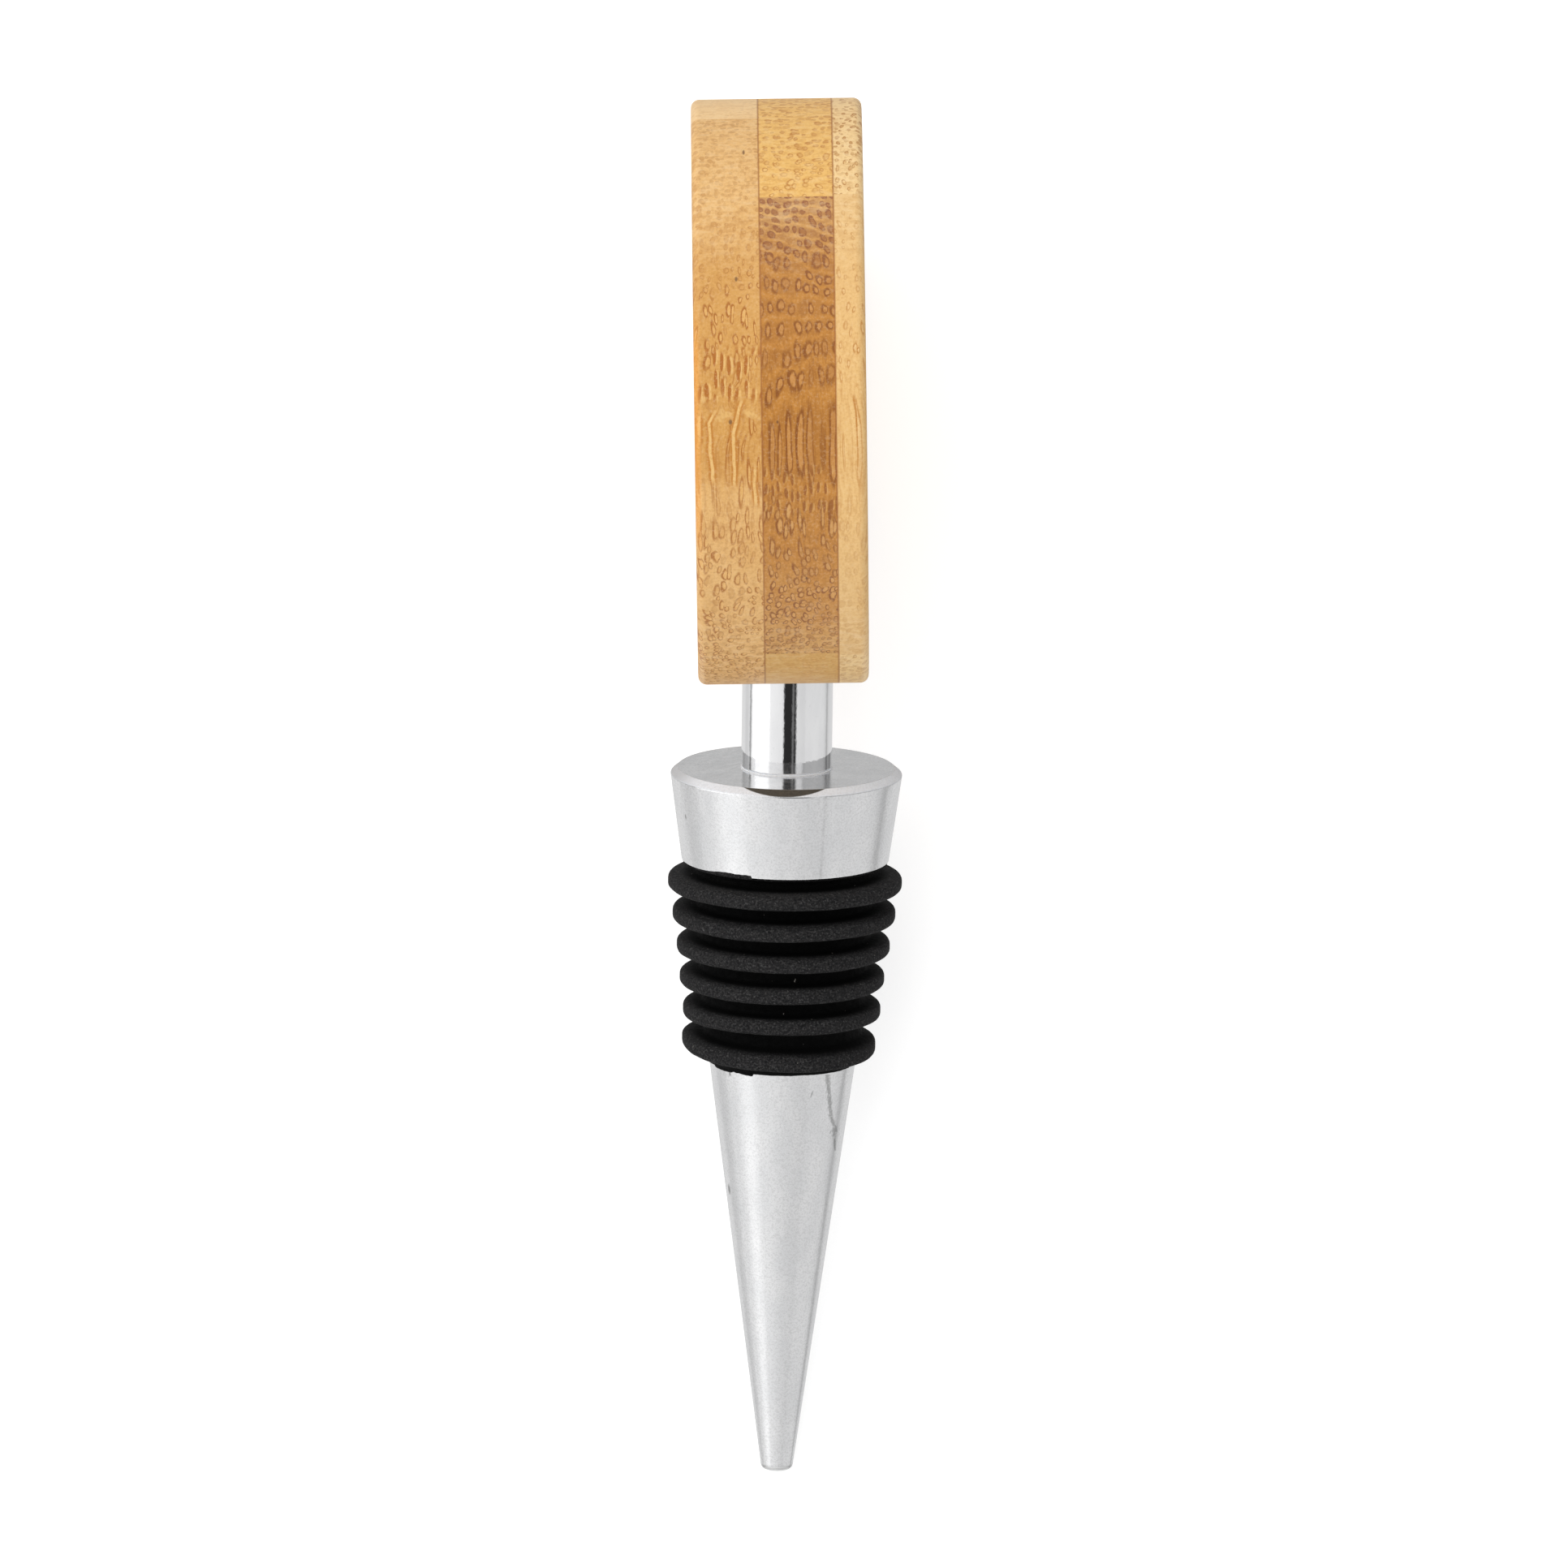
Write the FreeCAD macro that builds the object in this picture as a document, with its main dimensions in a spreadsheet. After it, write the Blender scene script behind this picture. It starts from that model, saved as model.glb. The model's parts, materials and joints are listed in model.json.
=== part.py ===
import FreeCAD, Part
import os
import Sketcher

# Bottle stopper with a round handle of laminated bamboo, which the photograph shows edge-on.
# Every piece is drawn upright on the stopper's own axis, Z, with the cone's tip at zero, and is
# then laid down: the finished stopper lies on the rim of its handle and the edge of its tip.
# In the upright drawing -Y faces the photograph's viewpoint and +X is the photograph's right.

doc = FreeCAD.newDocument("BottleStopper")

# Driving dimensions, in millimetres and degrees.
DIMENSIONS = {
    # round handle of three plies, each edge-glued from three strips
    "handle_across": 55.25,
    "left_ply": 6.3,
    "middle_ply": 6.95,
    "right_ply": 2.85,
    "rim_rounding": 0.8,
    # width of a strip, and how far in front of the axis the first seam of each ply lies
    "strip_width": 22.0,
    "left_seam": 5.2,
    "middle_seam": 16.95,
    "right_seam": 16.75,
    # the handle sits a little off the post's axis and leans a little to the left
    "handle_offset": 0.4,
    "handle_lean": 1.55,
    # post between collar and handle
    "post_across": 8.6,
    "post_showing": 8.57,
    "seat_depth": 1.0,
    "post_rounding": 0.15,
    # hanger bolt that holds body, post and handle together
    "bolt_across": 4.0,
    "bolt_in_body": 11.0,
    "bolt_in_handle": 18.0,
    "bolt_point_length": 6.0,
    "bolt_point_across": 0.8,
    "bolt_chamfer": 0.5,
    "bolt_clearance": 0.2,
    "drill_margin": 2.0,
    "drill_angle": 118.0,
    # die-cast body: cone, core under the sleeve, collar, and the boss under the post
    "tip_across": 2.92,
    "tip_rounding": 0.6,
    "cone_across": 13.93,
    "cone_length": 40.1,
    "core_across": 12.0,
    "collar_bottom_across": 19.64,
    "collar_top_across": 21.98,
    "collar_height": 8.92,
    "collar_rounding": 0.2,
    "crown_width": 0.7,
    "crown_drop": 0.57,
    "boss_across": 8.7,
    "boss_height": 0.1,
    # moulded sleeve and its sealing rings
    "sleeve_length": 19.35,
    "root_top_across": 17.0,
    "root_bottom_across": 14.4,
    "ring_count": 6,
    "first_ring_drop": 2.07,
    "last_ring_rise": 1.78,
    "first_ring_across": 22.25,
    "last_ring_across": 18.45,
    "ring_easing": 1.42,
    "rim_thickness": 1.3,
    "foot_thickness": 1.9,
    "ring_rounding": 0.5,
    "valley_rounding": 0.4,
}

# Heights on the axis and the lengths that follow from the dimensions.
STATIONS = {
    "collar_foot": "Sizes.cone_length + Sizes.sleeve_length",
    "collar_top": "collar_foot + Sizes.collar_height",
    "collar_rim": "collar_top - Sizes.crown_drop",
    "boss_top": "collar_top + Sizes.boss_height",
    "handle_foot": "boss_top + Sizes.post_showing",
    "post_top": "handle_foot + Sizes.seat_depth",
    "handle_centre": "handle_foot + Sizes.handle_across / 2",
    "handle_width": "Sizes.left_ply + Sizes.middle_ply + Sizes.right_ply",
    "bolt_foot": "boss_top - Sizes.bolt_in_body",
    "bolt_top": "handle_foot + Sizes.bolt_in_handle",
    "bolt_taper": "bolt_top - Sizes.bolt_point_length",
    "ring_pitch": (
        "(Sizes.sleeve_length - Sizes.first_ring_drop - Sizes.last_ring_rise)"
        " / (Sizes.ring_count - 1)"
    ),
    "drill_foot": "bolt_foot - Sizes.drill_margin",
    "drill_tip": "drill_foot - Sizes.bolt_across / 2 / tan(Sizes.drill_angle / 2 * 1deg)",
    # the stopper lies on the rounded edge of its tip, a ring of this radius below the handle
    "tip_ring": "Sizes.tip_across / 2 - Sizes.tip_rounding",
    "tip_to_centre": "handle_centre - Sizes.tip_rounding",
}
INCLINE = (
    "asin((Sizes.handle_across / 2 - Sizes.tip_rounding) / hypot(tip_to_centre; tip_ring))"
    " - atan(tip_ring / tip_to_centre)"
)
# row Y of the lying stopper's two ends, and row Z of its axis at the tip
NEAR_END = "Sizes.tip_rounding * (cos(incline) - 1) - tip_ring * sin(incline)"
FAR_END = (
    "handle_foot * cos(incline)"
    " + Sizes.handle_across / 2 * (1 + cos(incline) * cos(Sizes.handle_lean * 1deg))"
)
TIP_HEIGHT = "Sizes.handle_across / 2 - handle_centre * sin(incline)"
LYING = (
    "create(<<placement>>; create(<<vector>>; 0; -(near_end + far_end) / 2; tip_height);"
    " create(<<rotation>>; create(<<vector>>; 1; 0; 0); incline - 90deg))"
)
# the handle leans about the line that stands upright on the table, so its rim still lies flat
HANDLE = (
    "create(<<placement>>; create(<<vector>>; -Sizes.handle_offset; 0; handle_foot);"
    " create(<<rotation>>; create(<<vector>>; 0; -cos(incline); sin(incline));"
    " Sizes.handle_lean * 1deg))"
)

ON_AXIS = "0"
EDGE_TOLERANCE = 1e-4
VALLEY_SHARE = 0.45


def fill_sheet(dimensions):
    """Sheet of driving dimensions, one named cell each."""
    sheet = doc.addObject("Spreadsheet::Sheet", "Sizes")
    for row, (alias, size) in enumerate(dimensions.items(), start=1):
        sheet.set(f"A{row}", alias)
        sheet.set(f"B{row}", str(size))
        sheet.setAlias(f"B{row}", alias)
    doc.recompute()


def lay_out():
    """Variables for the stations, the angle of rest and the two placements."""
    layout = doc.addObject("App::VarSet", "Layout")

    def derive(kind, name, formula):
        layout.addProperty(kind, name)
        layout.setExpression(name, formula)

    for name, formula in STATIONS.items():
        derive("App::PropertyFloat", name, formula)
    derive("App::PropertyAngle", "incline", INCLINE)
    derive("App::PropertyFloat", "near_end", NEAR_END)
    derive("App::PropertyFloat", "far_end", FAR_END)
    derive("App::PropertyFloat", "tip_height", TIP_HEIGHT)
    derive("App::PropertyPlacement", "lying", LYING)
    derive("App::PropertyPlacement", "handle", HANDLE)
    doc.recompute()


def value(formula):
    """Present number of a formula."""
    return float(doc.Sizes.evalExpression(formula))


def new_body(name):
    """Empty body, laid down with the rest of the stopper."""
    body = doc.addObject("PartDesign::Body", name)
    body.Label = name
    body.setExpression("Placement", "Layout.lying")
    return body


def new_sketch(body, name, plane):
    """Empty sketch on one of the body's own origin planes."""
    sketch = body.newObject("Sketcher::SketchObject", name)
    support = next(item for item in body.Origin.OriginFeatures if item.Role == plane)
    sketch.AttachmentSupport = (support, [""])
    sketch.MapMode = "FlatFace"
    return sketch


def half_section(body, name, corners):
    """Closed outline in the XZ plane through corners given as formulas for radius and height."""
    sketch = new_sketch(body, name, "XZ_Plane")
    points = [FreeCAD.Vector(value(radius), value(height), 0) for radius, height in corners]
    for start, end in zip(points, points[1:] + points[:1]):
        sketch.addGeometry(Part.LineSegment(start, end))
    for line, (radius, height) in enumerate(corners):
        before = (line - 1) % len(corners)
        sketch.addConstraint(Sketcher.Constraint("Coincident", before, 2, line, 1))
        if radius == ON_AXIS:
            sketch.addConstraint(Sketcher.Constraint("PointOnObject", line, 1, -2))
        else:
            bind_corner(sketch, "DistanceX", line, radius)
        if height == ON_AXIS:
            sketch.addConstraint(Sketcher.Constraint("PointOnObject", line, 1, -1))
        else:
            bind_corner(sketch, "DistanceY", line, height)
    return sketch


def bind_corner(sketch, direction, line, formula):
    """Distance of a line's start from the origin, bound to its formula."""
    size = Sketcher.Constraint(direction, -1, 1, line, 1, value(formula))
    number = sketch.addConstraint(size)
    sketch.setExpression(f"Constraints[{number}]", formula)


def revolve(body, kind, name, corners):
    """Turn a half section round the axis, to add material or to cut it."""
    sketch = half_section(body, name + "Outline", corners)
    turned = body.newObject(kind, name)
    turned.Profile = sketch
    turned.ReferenceAxis = (sketch, ["V_Axis"])
    turned.Angle = 360
    sketch.Visibility = False
    doc.recompute()
    return turned


def round_edges(body, name, base, size, rings):
    """Round the circular edges that lie at the given radii and heights."""
    places = [(value(radius), value(height)) for radius, height in rings]
    edges = []
    for number, edge in enumerate(base.Shape.Edges, start=1):
        if not isinstance(edge.Curve, Part.Circle):
            continue
        here = (edge.Curve.Radius, edge.Curve.Center.z)
        if any(max(abs(here[0] - r), abs(here[1] - z)) < EDGE_TOLERANCE for r, z in places):
            edges.append(f"Edge{number}")
    if len(edges) != len(places):
        raise RuntimeError(f"{name} found {len(edges)} edges of {len(places)}")
    rounded = body.newObject("PartDesign::Fillet", name)
    rounded.Base = (base, edges)
    rounded.setExpression("Radius", size)
    doc.recompute()
    return rounded


def make_stopper_body():
    """Casting: cone, core under the sleeve, crowned collar and low boss, tapped for the bolt."""
    body = new_body("stopper_body")
    tip = "Sizes.tip_across / 2"
    cone = "Sizes.cone_across / 2"
    core = "Sizes.core_across / 2"
    collar_bottom = "Sizes.collar_bottom_across / 2"
    collar_top = "Sizes.collar_top_across / 2"
    boss = "Sizes.boss_across / 2"
    bolt = "Sizes.bolt_across / 2"
    casting = revolve(body, "PartDesign::Revolution", "Casting", [
        (ON_AXIS, ON_AXIS),
        (tip, ON_AXIS),
        (cone, "Sizes.cone_length"),
        (core, "Sizes.cone_length"),
        (core, "Layout.collar_foot"),
        (collar_bottom, "Layout.collar_foot"),
        (collar_top, "Layout.collar_rim"),
        (f"{collar_top} - Sizes.crown_width", "Layout.collar_top"),
        (boss, "Layout.collar_top"),
        (boss, "Layout.boss_top"),
        (ON_AXIS, "Layout.boss_top"),
    ])
    tapped = revolve(body, "PartDesign::Groove", "BoltHole", [
        (ON_AXIS, "Layout.boss_top"),
        (bolt, "Layout.boss_top"),
        (bolt, "Layout.drill_foot"),
        (ON_AXIS, "Layout.drill_tip"),
    ])
    if tapped.Shape.Volume >= casting.Shape.Volume:
        raise RuntimeError("the bolt hole cuts nothing")
    rounded = round_edges(body, "TipEdge", tapped, "Sizes.tip_rounding", [(tip, ON_AXIS)])
    round_edges(body, "CollarEdges", rounded, "Sizes.collar_rounding", [
        (collar_bottom, "Layout.collar_foot"),
        (collar_top, "Layout.collar_rim"),
    ])
    return body


def ring_radius(ring):
    """Rim of a sealing ring: wide under the collar, narrower down the sleeve, easing off."""
    last = "Sizes.last_ring_across / 2"
    spread = "(Sizes.first_ring_across - Sizes.last_ring_across) / 2"
    return f"{last} + {spread} * pow(1 - {ring} / (Sizes.ring_count - 1); Sizes.ring_easing)"


def root_radius(height):
    """Wall of the sleeve between the rings, tapering down to the cone."""
    rise = f"({height} - Sizes.cone_length) / Sizes.sleeve_length"
    growth = f"(Sizes.root_top_across - Sizes.root_bottom_across) * {rise}"
    return f"(Sizes.root_bottom_across + {growth}) / 2"


def make_seal_sleeve():
    """One moulding: a tapering sleeve with thin round-edged rings."""
    body = new_body("seal_sleeve")
    core = "Sizes.core_across / 2"
    wall_foot = (root_radius("Sizes.cone_length"), "Sizes.cone_length")
    wall_top = (root_radius("Layout.collar_foot"), "Layout.collar_foot")
    corners = [(core, "Sizes.cone_length"), wall_foot]
    rims = []
    valleys = []
    for ring in reversed(range(int(value("Sizes.ring_count")))):
        middle = f"Layout.collar_foot - Sizes.first_ring_drop - {ring} * Layout.ring_pitch"
        below = f"{middle} - Sizes.foot_thickness / 2"
        above = f"{middle} + Sizes.foot_thickness / 2"
        feet = [(root_radius(below), below), (root_radius(above), above)]
        rim = [
            (ring_radius(ring), f"{middle} - Sizes.rim_thickness / 2"),
            (ring_radius(ring), f"{middle} + Sizes.rim_thickness / 2"),
        ]
        corners += [feet[0], *rim, feet[1]]
        rims += rim
        valleys += feet
    corners += [wall_top, (core, "Layout.collar_foot")]
    moulded = revolve(body, "PartDesign::Revolution", "Moulding", corners)
    rounded = round_edges(body, "RingRims", moulded, "Sizes.ring_rounding", rims)
    # two roundings share each valley, so its width limits them
    room = f"{VALLEY_SHARE} * (Layout.ring_pitch - Sizes.foot_thickness)"
    round_edges(body, "RingValleys", rounded, f"min(Sizes.valley_rounding; {room})", valleys)
    return body


def make_post():
    """Turned tube between the boss and the seat in the handle."""
    body = new_body("post")
    bore = "Sizes.bolt_across / 2 + Sizes.bolt_clearance"
    outside = "Sizes.post_across / 2"
    tube = revolve(body, "PartDesign::Revolution", "Tube", [
        (bore, "Layout.boss_top"),
        (outside, "Layout.boss_top"),
        (outside, "Layout.post_top"),
        (bore, "Layout.post_top"),
    ])
    round_edges(body, "TubeFoot", tube, "Sizes.post_rounding", [(outside, "Layout.boss_top")])
    return body


def make_hanger_bolt():
    """Bolt with a machine end in the body and a pointed wood end in the handle."""
    body = new_body("hanger_bolt")
    shank = "Sizes.bolt_across / 2"
    revolve(body, "PartDesign::Revolution", "Shank", [
        (ON_AXIS, "Layout.bolt_foot"),
        (f"{shank} - Sizes.bolt_chamfer", "Layout.bolt_foot"),
        (shank, "Layout.bolt_foot + Sizes.bolt_chamfer"),
        (shank, "Layout.bolt_taper"),
        ("Sizes.bolt_point_across / 2", "Layout.bolt_top"),
        (ON_AXIS, "Layout.bolt_top"),
    ])
    return body


def make_handle_blank():
    """Disc turned from the glued-up panel, drawn from the foot of its rim."""
    body = doc.addObject("PartDesign::Body", "handle_blank")
    sketch = new_sketch(body, "DiscOutline", "YZ_Plane")
    radius = "Sizes.handle_across / 2"
    centre = FreeCAD.Vector(0, value(radius), 0)
    circle = sketch.addGeometry(Part.Circle(centre, FreeCAD.Vector(0, 0, 1), value(radius)))
    sketch.addConstraint(Sketcher.Constraint("PointOnObject", circle, 3, -2))
    rise = sketch.addConstraint(Sketcher.Constraint("DistanceY", -1, 1, circle, 3, value(radius)))
    sketch.setExpression(f"Constraints[{rise}]", radius)
    size = sketch.addConstraint(Sketcher.Constraint("Radius", circle, value(radius)))
    sketch.setExpression(f"Constraints[{size}]", radius)
    disc = body.newObject("PartDesign::Pad", "Disc")
    disc.Profile = sketch
    disc.Midplane = True
    disc.setExpression("Length", "Layout.handle_width")
    sketch.Visibility = False
    doc.recompute()
    rims = [
        f"Edge{number}" for number, edge in enumerate(disc.Shape.Edges, start=1)
        if isinstance(edge.Curve, Part.Circle)
    ]
    rounded = body.newObject("PartDesign::Fillet", "DiscRims")
    rounded.Base = (disc, rims)
    rounded.setExpression("Radius", "Sizes.rim_rounding")
    body.setExpression("Placement", "Layout.handle")
    doc.recompute()
    return body


def bore_handle(blank):
    """Seat for the post and pilot hole for the bolt, drilled along the post's axis."""
    seat = doc.addObject("Part::Cylinder", "PostSeat")
    seat.setExpression("Radius", "Sizes.post_across / 2")
    seat.setExpression("Height", "2 * Sizes.seat_depth")
    seat.setExpression("Placement.Base.z", "Layout.handle_foot - Sizes.seat_depth")
    pilot = doc.addObject("Part::Cylinder", "Pilot")
    pilot.setExpression("Radius", "Sizes.bolt_across / 2")
    pilot.setExpression("Height", "Layout.bolt_taper - Layout.handle_foot")
    pilot.setExpression("Placement.Base.z", "Layout.handle_foot")
    point = doc.addObject("Part::Cone", "PilotPoint")
    point.setExpression("Radius1", "Sizes.bolt_across / 2")
    point.setExpression("Radius2", "Sizes.bolt_point_across / 2")
    point.setExpression("Height", "Sizes.bolt_point_length")
    point.setExpression("Placement.Base.z", "Layout.bolt_taper")
    drill = doc.addObject("Part::MultiFuse", "Drill")
    drill.Shapes = [seat, pilot, point]
    bored = doc.addObject("Part::Cut", "BoredHandle")
    bored.Base = blank
    bored.Tool = drill
    doc.recompute()
    if bored.Shape.Volume >= blank.Shape.Volume:
        raise RuntimeError("the handle's bore cuts nothing")
    return bored


def make_strip(name, handle, ply_start, ply, front, width):
    """One strip of bamboo: the part of the bored handle inside that strip's slab."""
    slab = doc.addObject("Part::Box", name + "_slab")
    slab.setExpression("Length", ply)
    slab.setExpression("Width", width)
    slab.setExpression("Height", "Sizes.handle_across")
    slab.setExpression(
        "Placement",
        f"Layout.handle * create(<<placement>>; create(<<vector>>; {ply_start}; {front}; 0);"
        " create(<<rotation>>; create(<<vector>>; 0; 0; 1); 0deg))",
    )
    strip = doc.addObject("Part::Common", name)
    strip.Label = name
    strip.Base = handle
    strip.Tool = slab
    strip.setExpression("Placement", "Layout.lying")
    return strip


def make_strips(handle):
    """Three plies side by side, each of a front, a centre and a rear strip."""
    radius = "Sizes.handle_across / 2"
    left = "-Layout.handle_width / 2"
    strips = []
    for side, start in (
        ("left", left),
        ("middle", f"{left} + Sizes.left_ply"),
        ("right", f"{left} + Sizes.left_ply + Sizes.middle_ply"),
    ):
        ply = f"Sizes.{side}_ply"
        front_seam = f"-Sizes.{side}_seam"
        rear_seam = f"Sizes.strip_width - Sizes.{side}_seam"
        for place, front, width in (
            ("front", f"-({radius})", f"{radius} - Sizes.{side}_seam"),
            ("centre", front_seam, "Sizes.strip_width"),
            ("rear", rear_seam, f"{radius} - ({rear_seam})"),
        ):
            strips.append(make_strip(f"{side}_{place}_strip", handle, start, ply, front, width))
    return strips


def check(nodes):
    """Stop on a failed feature or a piece that is not one sound solid."""
    for item in doc.Objects:
        if {"Invalid", "Error"} & set(item.State):
            raise RuntimeError(f"{item.Name} failed: {item.State}")
    for node in nodes:
        shape = node.Shape
        if shape.isNull() or not shape.isValid() or len(shape.Solids) != 1:
            raise RuntimeError(f"{node.Label} is not one sound solid")


fill_sheet(DIMENSIONS)
lay_out()
nodes = [make_stopper_body(), make_seal_sleeve(), make_post(), make_hanger_bolt()]
nodes += make_strips(bore_handle(make_handle_blank()))
doc.recompute()
check(nodes)
os.makedirs("parts", exist_ok=True)
for node in nodes:
    node.Shape.exportStep(f"parts/{node.Label}.step")
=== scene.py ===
import json
import math
from dataclasses import dataclass

import bmesh
import bpy
from mathutils import Matrix, Vector, noise


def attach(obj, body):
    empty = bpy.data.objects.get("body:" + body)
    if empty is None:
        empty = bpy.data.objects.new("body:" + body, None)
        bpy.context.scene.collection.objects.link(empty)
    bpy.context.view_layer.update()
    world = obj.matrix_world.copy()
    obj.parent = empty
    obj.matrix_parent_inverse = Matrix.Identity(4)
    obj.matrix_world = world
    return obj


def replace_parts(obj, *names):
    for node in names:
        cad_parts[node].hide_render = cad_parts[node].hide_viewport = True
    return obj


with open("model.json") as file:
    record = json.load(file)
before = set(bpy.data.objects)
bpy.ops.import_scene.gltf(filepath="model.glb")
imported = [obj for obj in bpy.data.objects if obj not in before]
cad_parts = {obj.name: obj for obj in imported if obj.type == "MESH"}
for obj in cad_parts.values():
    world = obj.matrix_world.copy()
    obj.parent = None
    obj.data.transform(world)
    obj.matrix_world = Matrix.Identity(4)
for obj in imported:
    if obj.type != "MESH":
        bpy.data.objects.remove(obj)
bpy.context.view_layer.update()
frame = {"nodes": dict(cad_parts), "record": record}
NODES = frame["nodes"]
MM = 0.001

# The stopper's own axes in the row frame: across, along (tip to handle) and deep (to the viewer)
NECK = frame["record"]["mounts"][0]
ALONG = -Vector(NECK["axis"]).normalized()
ACROSS = Vector((1, 0, 0))
DEEP = ACROSS.cross(ALONG).normalized()
TILT = math.atan2(ALONG.z, ALONG.y)

# Sizes in millimetres and degrees, which repeat the part's own
CONE_LENGTH = 40.1
SLEEVE_LENGTH = 19.35
COLLAR_HEIGHT = 8.92
CROWN_DROP = 0.57
CROWN_WIDTH = 0.7
BOSS_HEIGHT = 0.1
POST_SHOWING = 8.57
HANDLE_OFFSET = -0.4
HANDLE_LEAN = 1.55
HANDLE_RADIUS = 55.25 / 2
POST_RADIUS = 8.6 / 2
COLLAR_TOP_RADIUS = 21.98 / 2
COLLAR_FOOT_RADIUS = 19.64 / 2
ROOT_TOP_RADIUS = 17.0 / 2
ROOT_FOOT_RADIUS = 14.4 / 2
CORE_RADIUS = 12.0 / 2
CONE_RADIUS = 13.93 / 2
TIP_RADIUS = 2.92 / 2

# Stations on the axis, in millimetres from the tip
COLLAR_FOOT = CONE_LENGTH + SLEEVE_LENGTH
COLLAR_TOP = COLLAR_FOOT + COLLAR_HEIGHT
COLLAR_RIM = COLLAR_TOP - CROWN_DROP
POST_FOOT = COLLAR_TOP + BOSS_HEIGHT
HANDLE_FOOT = POST_FOOT + POST_SHOWING
TIP = Vector(NECK["pos_m"]) - ALONG * (CONE_LENGTH + SLEEVE_LENGTH / 2) * MM


def place(across, station, deep):
    """A point on the stopper's axes, in millimetres from the tip, as a point of the row frame."""
    return TIP + (ACROSS * across + ALONG * station + DEEP * deep) * MM


def add_object(name, data):
    new = bpy.data.objects.new(name, data)
    bpy.context.scene.collection.objects.link(new)
    return new


# The handle leans about the upright line of the table
UPRIGHT = Matrix.Rotation(-TILT, 3, "X")
LEAN = Matrix.Rotation(math.radians(HANDLE_LEAN), 3, "Z")
HANDLE_AXES = UPRIGHT @ LEAN.transposed()
HANDLE_CENTRE = place(HANDLE_OFFSET, HANDLE_FOOT, 0) + LEAN @ ALONG * HANDLE_RADIUS * MM

# Camera: the photograph's view, square on the lying stopper and a little from the handle's end
PHOTO_PIXELS = 1932
PIXELS_PER_M = 13.0 / MM
DISTANCE = 2.2
RISE = math.radians(12.0)
ROLL = math.radians(0.8)
AIM = place(-0.21, 66.742, 0)
SENSOR = 36

cam_data = bpy.data.cameras.new("camera")
cam = add_object("camera", cam_data)
bpy.context.scene.camera = cam
cam_data.sensor_width = SENSOR
cam_data.lens = SENSOR * PIXELS_PER_M * DISTANCE / PHOTO_PIXELS
cam_data.clip_end = 20
back = DEEP * math.cos(RISE) + ALONG * math.sin(RISE)
up = ALONG * math.cos(RISE) - DEEP * math.sin(RISE)
turn = Matrix((up.cross(back), up, back)).transposed().to_4x4() @ Matrix.Rotation(ROLL, 4, "Z")
cam.matrix_world = Matrix.Translation(AIM + back * DISTANCE) @ turn


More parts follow.
